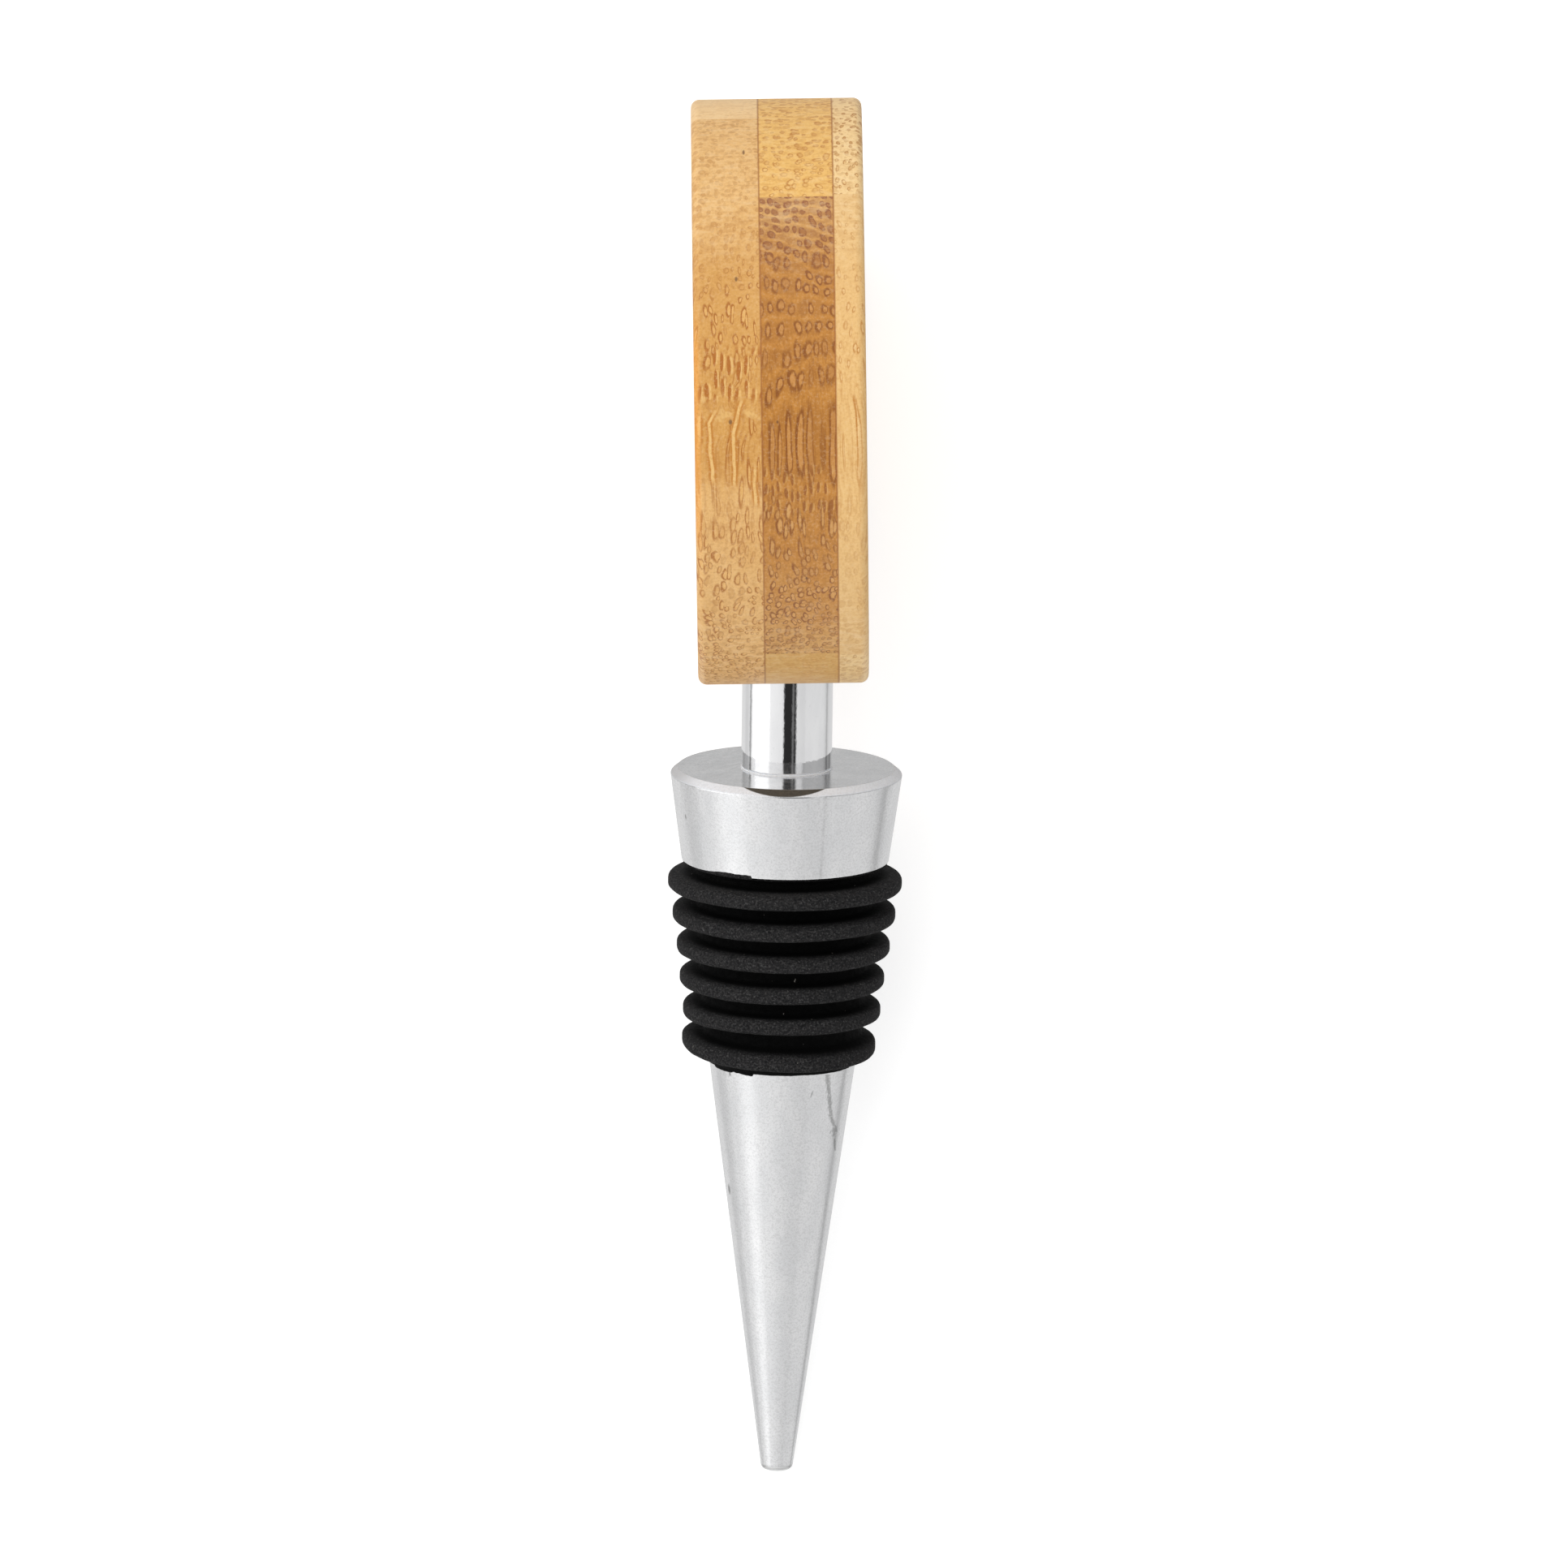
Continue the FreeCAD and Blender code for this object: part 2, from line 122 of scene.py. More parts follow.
class Graph:
    """A short way to write a node tree: every call gives the new node's output."""

    def __init__(self, owner):
        owner.use_nodes = True
        self.tree = owner.node_tree
        self.tree.nodes.clear()

    def add(self, kind, inputs=None, output=0, **settings):
        n = self.tree.nodes.new(kind)
        for key, value in settings.items():
            setattr(n, key, value)
        for key, value in (inputs or {}).items():
            self.put(n.inputs[key], value)
        return n.outputs[output] if n.outputs else n

    def put(self, socket, value):
        if isinstance(value, bpy.types.NodeSocket):
            self.tree.links.new(value, socket)
        elif socket.type == "RGBA" and len(value) == 3:
            socket.default_value = (*value, 1)
        else:
            socket.default_value = value

    def math(self, operation, a, b=0.0, c=0.0, clamp=False):
        return self.add("ShaderNodeMath", {0: a, 1: b, 2: c}, operation=operation, use_clamp=clamp)

    def plus(self, a, b):
        return self.math("ADD", a, b)

    def minus(self, a, b):
        return self.math("SUBTRACT", a, b)

    def over(self, a, b):
        return self.math("DIVIDE", a, b)

    def times(self, a, b, c=0.0):
        """a times b, plus c."""
        return self.math("MULTIPLY_ADD", a, b, c)

    def absolute(self, a):
        return self.math("ABSOLUTE", a)

    def larger(self, a, b):
        return self.math("MAXIMUM", a, b)

    def length(self, a, b):
        return self.math("SQRT", self.times(a, a, self.times(b, b)))

    def whole(self, a):
        """The whole number below a, and what a has beyond it."""
        return self.math("FLOOR", a), self.math("FRACT", a)

    def step(self, value, low, high, to_low=0.0, to_high=1.0):
        """A soft step of value from low to high."""
        return self.add("ShaderNodeMapRange", {0: value, 1: low, 2: high, 3: to_low, 4: to_high},
                        interpolation_type="SMOOTHSTEP")

    def slope(self, value, low, high, to_low, to_high):
        """A straight change from low to high, level outside."""
        return self.add("ShaderNodeMapRange", {0: value, 1: low, 2: high, 3: to_low, 4: to_high})

    def bell(self, value, middle, reach):
        """One at the middle, falling off to either side."""
        off = self.over(self.minus(value, middle), reach)
        return self.math("EXPONENT", self.times(self.times(off, off), -1.0))

    def span(self, value, low, high, soft):
        """One from low to high, with soft ends."""
        rise = self.step(value, low - soft, low + soft)
        return self.times(rise, self.step(value, high - soft, high + soft, 1.0, 0.0))

    def blend(self, share, a, b):
        """A number between a and b."""
        return self.times(share, self.minus(b, a), a)

    def mix(self, share, a, b):
        """A colour between a and b, which are the node's sockets 6 and 7."""
        return self.add("ShaderNodeMix", {0: share, 6: a, 7: b}, output=2, data_type="RGBA")

    def split(self, vector):
        return tuple(self.add("ShaderNodeSeparateXYZ", {0: vector}).node.outputs)

    def join(self, x, y, z=0.0):
        return self.add("ShaderNodeCombineXYZ", {0: x, 1: y, 2: z})

    def scaled(self, vector, scale, shift=0.0):
        moved = {0: vector, 1: scale, 2: (shift, shift, shift)}
        return self.add("ShaderNodeVectorMath", moved, operation="MULTIPLY_ADD")

    def noise(self, vector, scale, detail=2.0, rough=0.5, output=0):
        """A smooth random pattern, or with output "Color" three of them."""
        inputs = {"Vector": vector, "Scale": scale, "Detail": detail, "Roughness": rough}
        return self.add("ShaderNodeTexNoise", inputs, output=output)

    def chance(self, x, y, z, output=0):
        """A random number, or with output "Color" three of them, for each whole x, y and z."""
        return self.add("ShaderNodeTexWhiteNoise", {"Vector": self.join(x, y, z)}, output=output)

    def bump(self, height, strength, distance, normal=None):
        inputs = {"Height": height, "Strength": strength, "Distance": distance}
        if normal is not None:
            inputs["Normal"] = normal
        return self.add("ShaderNodeBump", inputs)

    def local(self, origin, axes):
        """The surface point in millimetres from origin: across, along and deep."""
        coords = self.add("ShaderNodeTexCoord", output="Object")
        inputs = {"Vector": coords, "Location": axes @ origin / -MM, "Rotation": axes.to_euler(),
                  "Scale": (1 / MM,) * 3}
        return self.add("ShaderNodeMapping", inputs, vector_type="POINT")

    def surface(self, colour, rough, normal, **values):
        """The shader. values are further sockets, with _ for a space in their names."""
        inputs = {"Base Color": colour, "Roughness": rough, "Normal": normal}
        inputs.update((key.replace("_", " "), value) for key, value in values.items())
        self.add("ShaderNodeOutputMaterial", {0: self.add("ShaderNodeBsdfPrincipled", inputs)})


def rgb(r, g, b):
    """A colour as seen (0 to 255) in linear light."""
    return tuple(((c / 255 + 0.055) / 1.055) ** 2.4 if c > 10 else c / 255 / 12.92 for c in (r, g, b))


def dress(node, material):
    NODES[node].data.materials.clear()
    NODES[node].data.materials.append(material)


# Bamboo: bundles of fibres run along the handle through its whole thickness. From the handle's
# middle u runs across, v up and w to the viewer, all in millimetres.
LEFT_PLY = 6.3
MIDDLE_PLY = 6.95
RIGHT_PLY = 2.85
LEFT_FACE = -(LEFT_PLY + MIDDLE_PLY + RIGHT_PLY) / 2
LEFT_JOINT = LEFT_FACE + LEFT_PLY
RIGHT_JOINT = LEFT_JOINT + MIDDLE_PLY
MIDDLE_AXIS = (LEFT_JOINT + RIGHT_JOINT) / 2
# Ranges below are given as step and span take them: where a change begins and ends, and then the
# values there, or the width of a soft end.
# Heights between which the handle's lower part begins, and where the hearts open there
LOWER_PART = (-3.0, -6.0)
LOWER_HEARTS = (-1.0, -4.0)
# Node of the left ply: its height, how far its curls reach, how far the fibres step aside below it,
# where its pale blots lie, and how the bundles fade above it
KNOT = 3.9
KNOT_REACH = 2.4
KNOT_ASIDE = (KNOT - 4.2, KNOT - 0.6, 0.0, 0.62)
BLOTS = (KNOT - 1.6, KNOT + 1.2, 0.8)
ABOVE_KNOT = (12.0, 18.0, 1.0, 0.4)
# Height above which the middle ply has its bundles in rows, and half widths of that border and of
# the stretch without bundles at it
ROWS_FROM = -4.8
BORDER = 0.07
BARE_BORDER = 0.15
# Rows: step and half size of their bundles, across and deep, and how much browner than their gaps
# they are, which fades by height
ROW_PITCH = (0.96, 1.05)
ROW_HALF = (0.36, 0.36)
ROW_BROWNER = 0.5
BROWNER_UP = (-7.0, 2.0, 0.25, 1.0)
# Slant of the rows by depth, to both sides of the ply's middle line: one way first, then back
FIRST_SLANT = (17.5, 20.5, 0.0, -0.27)
FRONT_SLANT = (22.0, 26.5, 0.0, 0.38)
# How rows crowd: to the front from a depth on, by a power, and to the seam behind a depth. Bundles
# also stand closer within a row there: between two depths, from a share of their step.
FRONT_CROWD_FROM = 20.0
FRONT_CROWD_POWER = 4.0
FRONT_CROWD = 0.000375
SEAM_CROWD_FROM = 21.5
SEAM_CROWD = -0.35
CLOSER_ROW = (18.0, 22.5, 0.82)
# Depths between which things of the handle's front come in
FRONT_TONES = (15.0, 26.0)
OPEN_ENDS = (23.0, 26.0)
FINE_FIBRES = (24.5, 27.0, 0.6, 1.5)
STROKES_IN = (18.0, 20.0)
THREADS_IN = (20.0, 22.0)
SPECKS_IN = (8.0, 9.0)
# Distance from the middle height over which the grain turns crosswise
CROSSWISE = (12.0, 21.0)
# Heights of the painted shade at the handle's foot, its warm thin edge at the left, across and by
# height, and a glue line
FOOT_SHADE_HEIGHTS = (-12.0, -17.0)
THIN_EDGE_ACROSS = (LEFT_FACE + 0.7, LEFT_FACE + 0.2)
THIN_EDGE_HEIGHTS = (-9.0, 11.0, 3.0)
GLUE_LINE = (0.13, 0.03, 0.0, 0.65)
GLUE = rgb(160, 98, 52)
SPECK = rgb(106, 74, 54)
PALE_BLOT_AND_HIGHLIGHT = rgb(244, 202, 130)
THREAD_RIM = rgb(198, 130, 54)
THREAD_HEART = rgb(242, 198, 126)
THIN_EDGE = rgb(240, 160, 62)
PAINTED_FOOT_SHADE = rgb(140, 110, 90)
BRIGHT_GRAIN = (1.0, 0.86, 0.62)
# Dark specks on the front of the handle: across, height, radius
SPECKS = ((-3.97, 15.2, 0.13), (-3.13, 25.1, 0.1), (-4.68, 2.5, 0.15), (-0.3, 2.44, 0.09),
          (2.25, -13.1, 0.1))
# Fibres that run long on the front of the left ply: height and place of a bend, slopes above and
# below it, lowest and highest point
THREADS = ((2.4, -6.74, 0.6, -0.0745, -3.2, 3.5), (1.3, -4.55, 0.314, -0.057, -3.6, 4.5),
           (4.2, -7.45, 0.1, 0.05, 0.6, 3.3), (3.0, -2.6, 0.05, -0.03, -5.6, -1.8))


@dataclass
class Strokes:
    """Bundles cut lengthwise, which show as short strokes between two heights."""

    low: float
    high: float
    # step and half size, across and up
    pitch: tuple
    half: tuple
    tone: tuple
    # share of the painted highlight at the right of each
    edge: float


@dataclass
class Strip:
    """How one strip of the handle looks."""

    seed: int
    # flesh deep in the handle and at its front
    back_tone: tuple
    front_tone: tuple
    # rim of a bundle deep in the handle and at its front, and its heart
    back_rim: tuple
    front_rim: tuple
    heart: tuple
    # strewn bundles: step and half size, across and deep, and size at the right and the left face
    pitch: tuple = (0.9, 0.75)
    half: tuple = (0.17, 0.2)
    grow: tuple = (1.0, 1.0)
    # depths between which the hearts open
    hollow: tuple = (10.0, 14.0)
    # how strongly bundles show, and how that fades: height, share there, height, share there
    show: float = 1.0
    fade: tuple = (-14.0, 0.5, 8.0, 1.0)
    # heights between which front_tone comes in, and its share at the lower
    deepen: tuple = (-14.0, -2.0, 0.6)
    # strength of the fine fibres in the flesh, and share of the painted shade, a dull brown, at the
    # handle's foot
    streak: float = 0.3
    foot: float = 0.0
    # whether bundles lie in rows above ROWS_FROM, and whether the fibres kink at KNOT
    rows: bool = False
    knot: bool = False
    strokes: Strokes = None


class Bamboo(Graph):
    """The material of one strip, laid on from the bundles to the specks.

    rim, heart and flesh are tones; body, opened and strength are shares: of a bundle's body, of its
    open heart, and how strongly both show. lower is one in the handle's lower part, where bundles
    are larger, with darker rims and paler hearts.
    """

    def __init__(self, name, strip):
        self.material = bpy.data.materials.new("bamboo_" + name)
        super().__init__(self.material)
        self.strip = strip
        self.point = self.local(HANDLE_CENTRE, HANDLE_AXES)
        self.u, self.v, self.w = self.split(self.point)
        self.lower = self.step(self.v, *LOWER_PART)
        ragged = self.noise(self.scaled(self.point, (1.0, 0.12, 1.0)), 4.0, 2.0, 0.6)
        self.ragged = self.minus(ragged, 0.5)
        self.wander()
        self.arrange()
        self.draw_bundles()
        self.fade_bundles()
        self.colour_flesh()
        body = self.math("MULTIPLY", self.body, self.strength, clamp=True)
        opened = self.math("MULTIPLY", self.opened, self.times(self.strength, 0.9), clamp=True)
        colour = self.mix(opened, self.mix(body, self.flesh, self.rim), self.heart)
        if strip.strokes:
            colour = self.add_strokes(colour, strip.strokes)
        if strip.knot:
            colour = self.add_knot(colour)
        colour, grain = self.add_grain(colour)
        colour = self.add_joints_and_specks(colour)
        relief = self.times(self.body, -0.5, grain)
        self.surface(colour, 0.46, self.bump(relief, 0.22, 0.00005), Specular_IOR_Level=0.3)

    def drift(self, scale, shift, detail):
        """Two slow random waves about zero."""
        wave = self.noise(self.scaled(self.point, scale, shift), 1.0, detail, output="Color")
        first, second, _ = self.split(wave)
        return self.minus(first, 0.5), self.minus(second, 0.5)

    def wander(self):
        """Where the fibre through this point runs, across and deep: fibres wander on their way."""
        strip = self.strip
        sway_u, sway_w = self.drift((0.16, 0.09, 0.16), strip.seed, 2.0)
        self.wave_u, wave_w = self.drift((0.5, 0.07, 0.5), strip.seed, 1.0)
        self.across = self.times(sway_u, 1.3, self.times(self.wave_u, 0.9, self.u))
        self.deep = self.times(sway_w, 1.2, self.times(wave_w, 1.3, self.w))
        if strip.knot:
            near = self.bell(self.v, KNOT, KNOT_REACH)
            self.near_knot = near
            self.curl_u, curl_w = self.drift((0.5, 0.42, 0.5), 0.0, 1.0)
            self.across = self.times(near, self.times(self.curl_u, 2.4), self.across)
            self.deep = self.times(near, self.times(self.minus(curl_w, 0.12), 2.6), self.deep)
            self.across = self.minus(self.across, self.step(self.v, *KNOT_ASIDE))

    def arrange(self):
        """Offset from the nearest bundle, in its half sizes, and chances for its size and strength."""
        laid = self.strewn()
        if self.strip.rows:
            self.border = self.times(self.wave_u, 4.0, self.v)
            upper = self.step(self.border, ROWS_FROM - BORDER, ROWS_FROM + BORDER)
            laid = [self.blend(upper, a, b) for a, b in zip(laid, self.laid_in_rows())]
        self.off_u, self.off_w, self.chance_size, self.chance_show = laid

    def strewn(self):
        """Bundles without order."""
        pitch, half = self.strip.pitch, self.strip.half
        flat_u, flat_w = self.over(self.across, pitch[0]), self.over(self.deep, pitch[1])
        inputs = {"Vector": self.join(flat_u, flat_w), "Scale": 1.0, "Randomness": 0.85}
        centre = self.add("ShaderNodeTexVoronoi", inputs, output="Position", voronoi_dimensions="2D")
        chance_size, chance_show, _ = self.split(centre.node.outputs["Color"])
        centre_u, centre_w, _ = self.split(centre)
        off_u = self.times(self.minus(flat_u, centre_u), pitch[0] / half[0])
        off_w = self.times(self.minus(flat_w, centre_w), pitch[1] / half[1])
        return off_u, off_w, chance_size, chance_show

    def laid_in_rows(self):
        """Bundles in slanting rows, closest together at the seam and at the front."""
        seed, w = self.strip.seed, self.w
        slant = self.plus(self.step(w, *FIRST_SLANT), self.step(w, *FRONT_SLANT))
        ramp = self.times(self.minus(self.across, MIDDLE_AXIS), slant, self.deep)
        crowd = self.larger(self.minus(w, FRONT_CROWD_FROM), 0.0)
        ramp = self.times(self.math("POWER", crowd, FRONT_CROWD_POWER), FRONT_CROWD, ramp)
        ramp = self.times(self.larger(self.minus(SEAM_CROWD_FROM, w), 0.0), SEAM_CROWD, ramp)
        row, self.in_row = self.whole(self.over(ramp, ROW_PITCH[1]))
        low, high, share = CLOSER_ROW
        narrow = self.step(w, low, high, ROW_PITCH[0] * share, ROW_PITCH[0])
        along_row = self.over(self.minus(self.across, MIDDLE_AXIS), narrow)
        column, in_column = self.whole(self.plus(along_row, self.chance(row, seed, 0.5)))
        set_u, set_w, chance_size = self.split(self.chance(column, row, seed, output="Color"))
        off_u = self.minus(in_column, self.times(set_u, 0.28, 0.36))
        off_w = self.minus(self.in_row, self.times(set_w, 0.26, 0.37))
        off_u = self.times(off_u, ROW_PITCH[0] / ROW_HALF[0])
        off_w = self.times(off_w, ROW_PITCH[1] / ROW_HALF[1])
        return off_u, off_w, chance_size, self.chance(row, column, seed + 7)

    def draw_bundles(self):
        """A bundle's body and its open heart, both as shares."""
        size = self.times(self.chance_size, 0.5, 0.74)
        size = self.times(size, self.step(self.u, 2.0, LEFT_FACE, *self.strip.grow))
        size = self.times(size, self.times(self.lower, 0.25, 1.0))
        off_u, off_w = self.over(self.off_u, size), self.over(self.off_w, size)
        off = self.length(off_u, off_w)
        self.body = self.step(self.times(self.ragged, 0.7, off), 1.2, 0.75)
        # the heart lies a little to the right, so that the rim is heavier at the left
        inner = self.times(self.ragged, 0.7, self.length(self.plus(off_u, -0.16), off_w))
        where = self.step(self.w, *self.strip.hollow, 0.3, 1.0)
        where = self.larger(where, self.step(self.v, *LOWER_HEARTS))
        self.opened = self.times(self.step(self.times(self.lower, -0.04, inner), 0.7, 0.42), where)
        # at the very front the rim is strong at its sides alone, so that strokes have open ends
        sides = self.over(self.absolute(off_u), self.plus(off, 0.01))
        front = self.step(self.w, *OPEN_ENDS)
        self.body = self.times(self.body, self.times(front, self.times(sides, 0.5, -0.4), 1.0))

    def fade_bundles(self):
        """How strongly the bundles show here."""
        strip = self.strip
        strength = self.times(self.chance_show, 0.4, 0.7)
        strength = self.times(self.step(self.chance_show, 0.0, 0.25), strength)
        patch = self.noise(self.scaled(self.point, (0.22, 0.07, 0.22), strip.seed), 1.0, 2.0)
        patch = self.step(patch, 0.32, 0.62, 0.6 * strip.show, 1.15 * strip.show)
        strength = self.times(strength, patch)
        low, at_low, high, at_high = strip.fade
        strength = self.times(strength, self.step(self.v, low, high, at_low, at_high))
        if strip.knot:
            above = self.step(self.v, *ABOVE_KNOT)
            strength = self.times(strength, self.times(self.near_knot, -0.6, above))
        if strip.rows:
            at_border = self.bell(self.border, ROWS_FROM, BARE_BORDER)
            strength = self.times(strength, self.times(at_border, -1.0, 1.0))
        self.strength = strength

    def colour_flesh(self):
        """Tones of flesh, rim and heart: the flesh deepens to the front and has fine fibres."""
        strip = self.strip
        low, high, at_low = strip.deepen
        front = self.times(self.step(self.w, *FRONT_TONES), self.step(self.v, low, high, at_low, 1.0))
        rim_front = self.larger(front, self.times(self.lower, 0.7))
        self.rim = self.mix(rim_front, strip.back_rim, strip.front_rim)
        self.heart = self.mix(self.times(self.lower, 0.5), strip.heart, strip.back_tone)
        broad = self.noise(self.scaled(self.point, (0.3, 0.06, 0.3), strip.seed), 1.0, 3.0)
        front = self.plus(self.minus(broad, 0.5), front)
        flesh = self.mix(self.step(front, 0.0, 1.0), strip.back_tone, strip.front_tone)
        # painted shade: the flesh turns a dull brown towards the handle's foot
        if strip.foot:
            flesh = self.mix(self.step(self.v, *FOOT_SHADE_HEIGHTS, 0.0, strip.foot), flesh, PAINTED_FOOT_SHADE)
        if strip.rows:
            # rows are browner than the lines between them
            off_middle = self.times(self.absolute(self.minus(self.in_row, 0.5)), 2.0)
            browner = self.step(off_middle, 0.95, 0.5, 0.0, ROW_BROWNER)
            browner = self.times(browner, self.step(self.v, *BROWNER_UP))
            flesh = self.mix(browner, flesh, self.mix(0.5, flesh, self.rim))
        fibre = self.join(self.across, self.v, self.deep)
        fine = self.noise(self.scaled(fibre, (1.0, 0.045, 1.0)), 3.6, 3.0, 0.65)
        share = self.times(self.step(self.w, *FINE_FIBRES), strip.streak)
        dark = self.times(self.step(fine, 0.45, 0.7), share)
        flesh = self.mix(dark, flesh, self.mix(0.6, flesh, self.rim))
        light = self.times(self.step(fine, 0.46, 0.3), share)
        self.flesh = self.mix(light, flesh, self.mix(0.6, flesh, self.heart))

    def add_strokes(self, colour, strokes):
        """One stroke in most cells of a loose grid, at the front only, with a painted highlight beside
        it.
        """
        wide, tall = strokes.pitch
        half_u, half_v = strokes.half
        column, in_column = self.whole(self.over(self.times(self.wave_u, 0.6, self.u), wide))
        rise = self.times(self.chance(column, 2.0, 3.0), 2.0, self.v)
        row, in_row = self.whole(self.over(rise, tall))
        set_u, set_v, there = self.split(self.chance(column, row, 4.0, output="Color"))
        off_u = self.times(self.minus(in_column, self.times(set_u, 0.24, 0.38)), wide)
        off_v = self.times(self.minus(in_row, self.times(set_v, 0.2, 0.4)), tall)
        off_u = self.times(off_v, self.times(set_v, 0.24, -0.12), off_u)
        dash = self.length(self.over(off_u, half_u), self.over(off_v, half_v))
        dash = self.times(self.ragged, 0.6, dash)
        there = self.times(self.step(there, 0.12, 0.16), self.step(self.w, *STROKES_IN))
        there = self.times(there, self.span(self.v, strokes.low, strokes.high, 0.7))
        # painted highlight: a pale edge at the right of each stroke, as on a lit groove
        beside = self.over(self.plus(off_u, half_u * -1.25), half_u * 0.9)
        painted_highlight = self.length(beside, self.over(off_v, half_v * 0.9))
        painted_highlight = self.times(self.step(painted_highlight, 1.1, 0.7), self.times(there, strokes.edge))
        colour = self.mix(painted_highlight, colour, PALE_BLOT_AND_HIGHLIGHT)
        dash = self.times(self.step(dash, 1.05, 0.8), self.times(there, 0.95))
        return self.mix(dash, colour, strokes.tone)

    def add_knot(self, colour):
        """Pale blots, fibres that run long, and a warm edge where the wood is thin."""
        lump = self.noise(self.scaled(self.point, (0.8, 0.8, 0.4)), 1.0, 1.0)
        blot = self.times(self.step(lump, 0.54, 0.64), self.span(self.v, *BLOTS))
        colour = self.mix(self.times(blot, 0.5), colour, PALE_BLOT_AND_HIGHLIGHT)
        for bend, middle, above, below, low, top in THREADS:
            lift = self.minus(self.v, bend)
            course = self.times(self.larger(lift, 0.0), above, middle)
            course = self.times(self.math("MINIMUM", lift, 0.0), below, course)
            away = self.absolute(self.minus(self.times(self.curl_u, 0.5, self.u), course))
            shown = self.times(self.span(self.v, low, top, 0.5), self.step(self.w, *THREADS_IN))
            shown = self.times(shown, self.step(self.ragged, -0.2, 0.0, 0.5, 0.95))
            colour = self.mix(self.times(self.step(away, 0.5, 0.22), shown), colour, THREAD_RIM)
            colour = self.mix(self.times(self.step(away, 0.2, 0.08), shown), colour, THREAD_HEART)
        warm = self.step(self.u, *THIN_EDGE_ACROSS)
        warm = self.times(warm, self.span(self.v, *THIN_EDGE_HEIGHTS))
        return self.mix(self.times(warm, 0.6), colour, THIN_EDGE)

    def add_grain(self, colour):
        """Grain of the cut. Near top and foot it runs across the fibres, as short torn lines."""
        dark, light = self.mix(0.6, self.flesh, self.rim), self.mix(0.25, self.flesh, BRIGHT_GRAIN)
        grain = self.noise(self.point, 3.9, 2.0, 0.7)
        colour = self.mix(self.step(grain, 0.5, 0.72, 0.0, 0.5), colour, dark)
        colour = self.mix(self.step(grain, 0.5, 0.3, 0.0, 0.4), colour, light)
        torn = self.noise(self.scaled(self.point, (0.7, 1.6, 1.9), self.strip.seed), 1.0, 3.0, 0.65)
        crosswise = self.step(self.absolute(self.v), *CROSSWISE)
        colour = self.mix(self.times(self.step(torn, 0.5, 0.66, 0.0, 0.55), crosswise), colour, dark)
        colour = self.mix(self.times(self.step(torn, 0.5, 0.36, 0.0, 0.45), crosswise), colour, light)
        return colour, grain

    def add_joints_and_specks(self, colour):
        """Thin glue lines between the plies, and the dark specks."""
        for joint in (LEFT_JOINT, RIGHT_JOINT):
            away = self.absolute(self.minus(self.u, joint))
            colour = self.mix(self.step(away, *GLUE_LINE), colour, GLUE)
        for speck_u, speck_v, radius in SPECKS:
            away = self.length(self.minus(self.u, speck_u), self.times(self.minus(self.v, speck_v), 0.7))
            spot = self.times(self.step(away, radius * 1.5, radius * 0.6), self.step(self.w, *SPECKS_IN))
            colour = self.mix(self.times(spot, 0.75), colour, SPECK)
        return colour


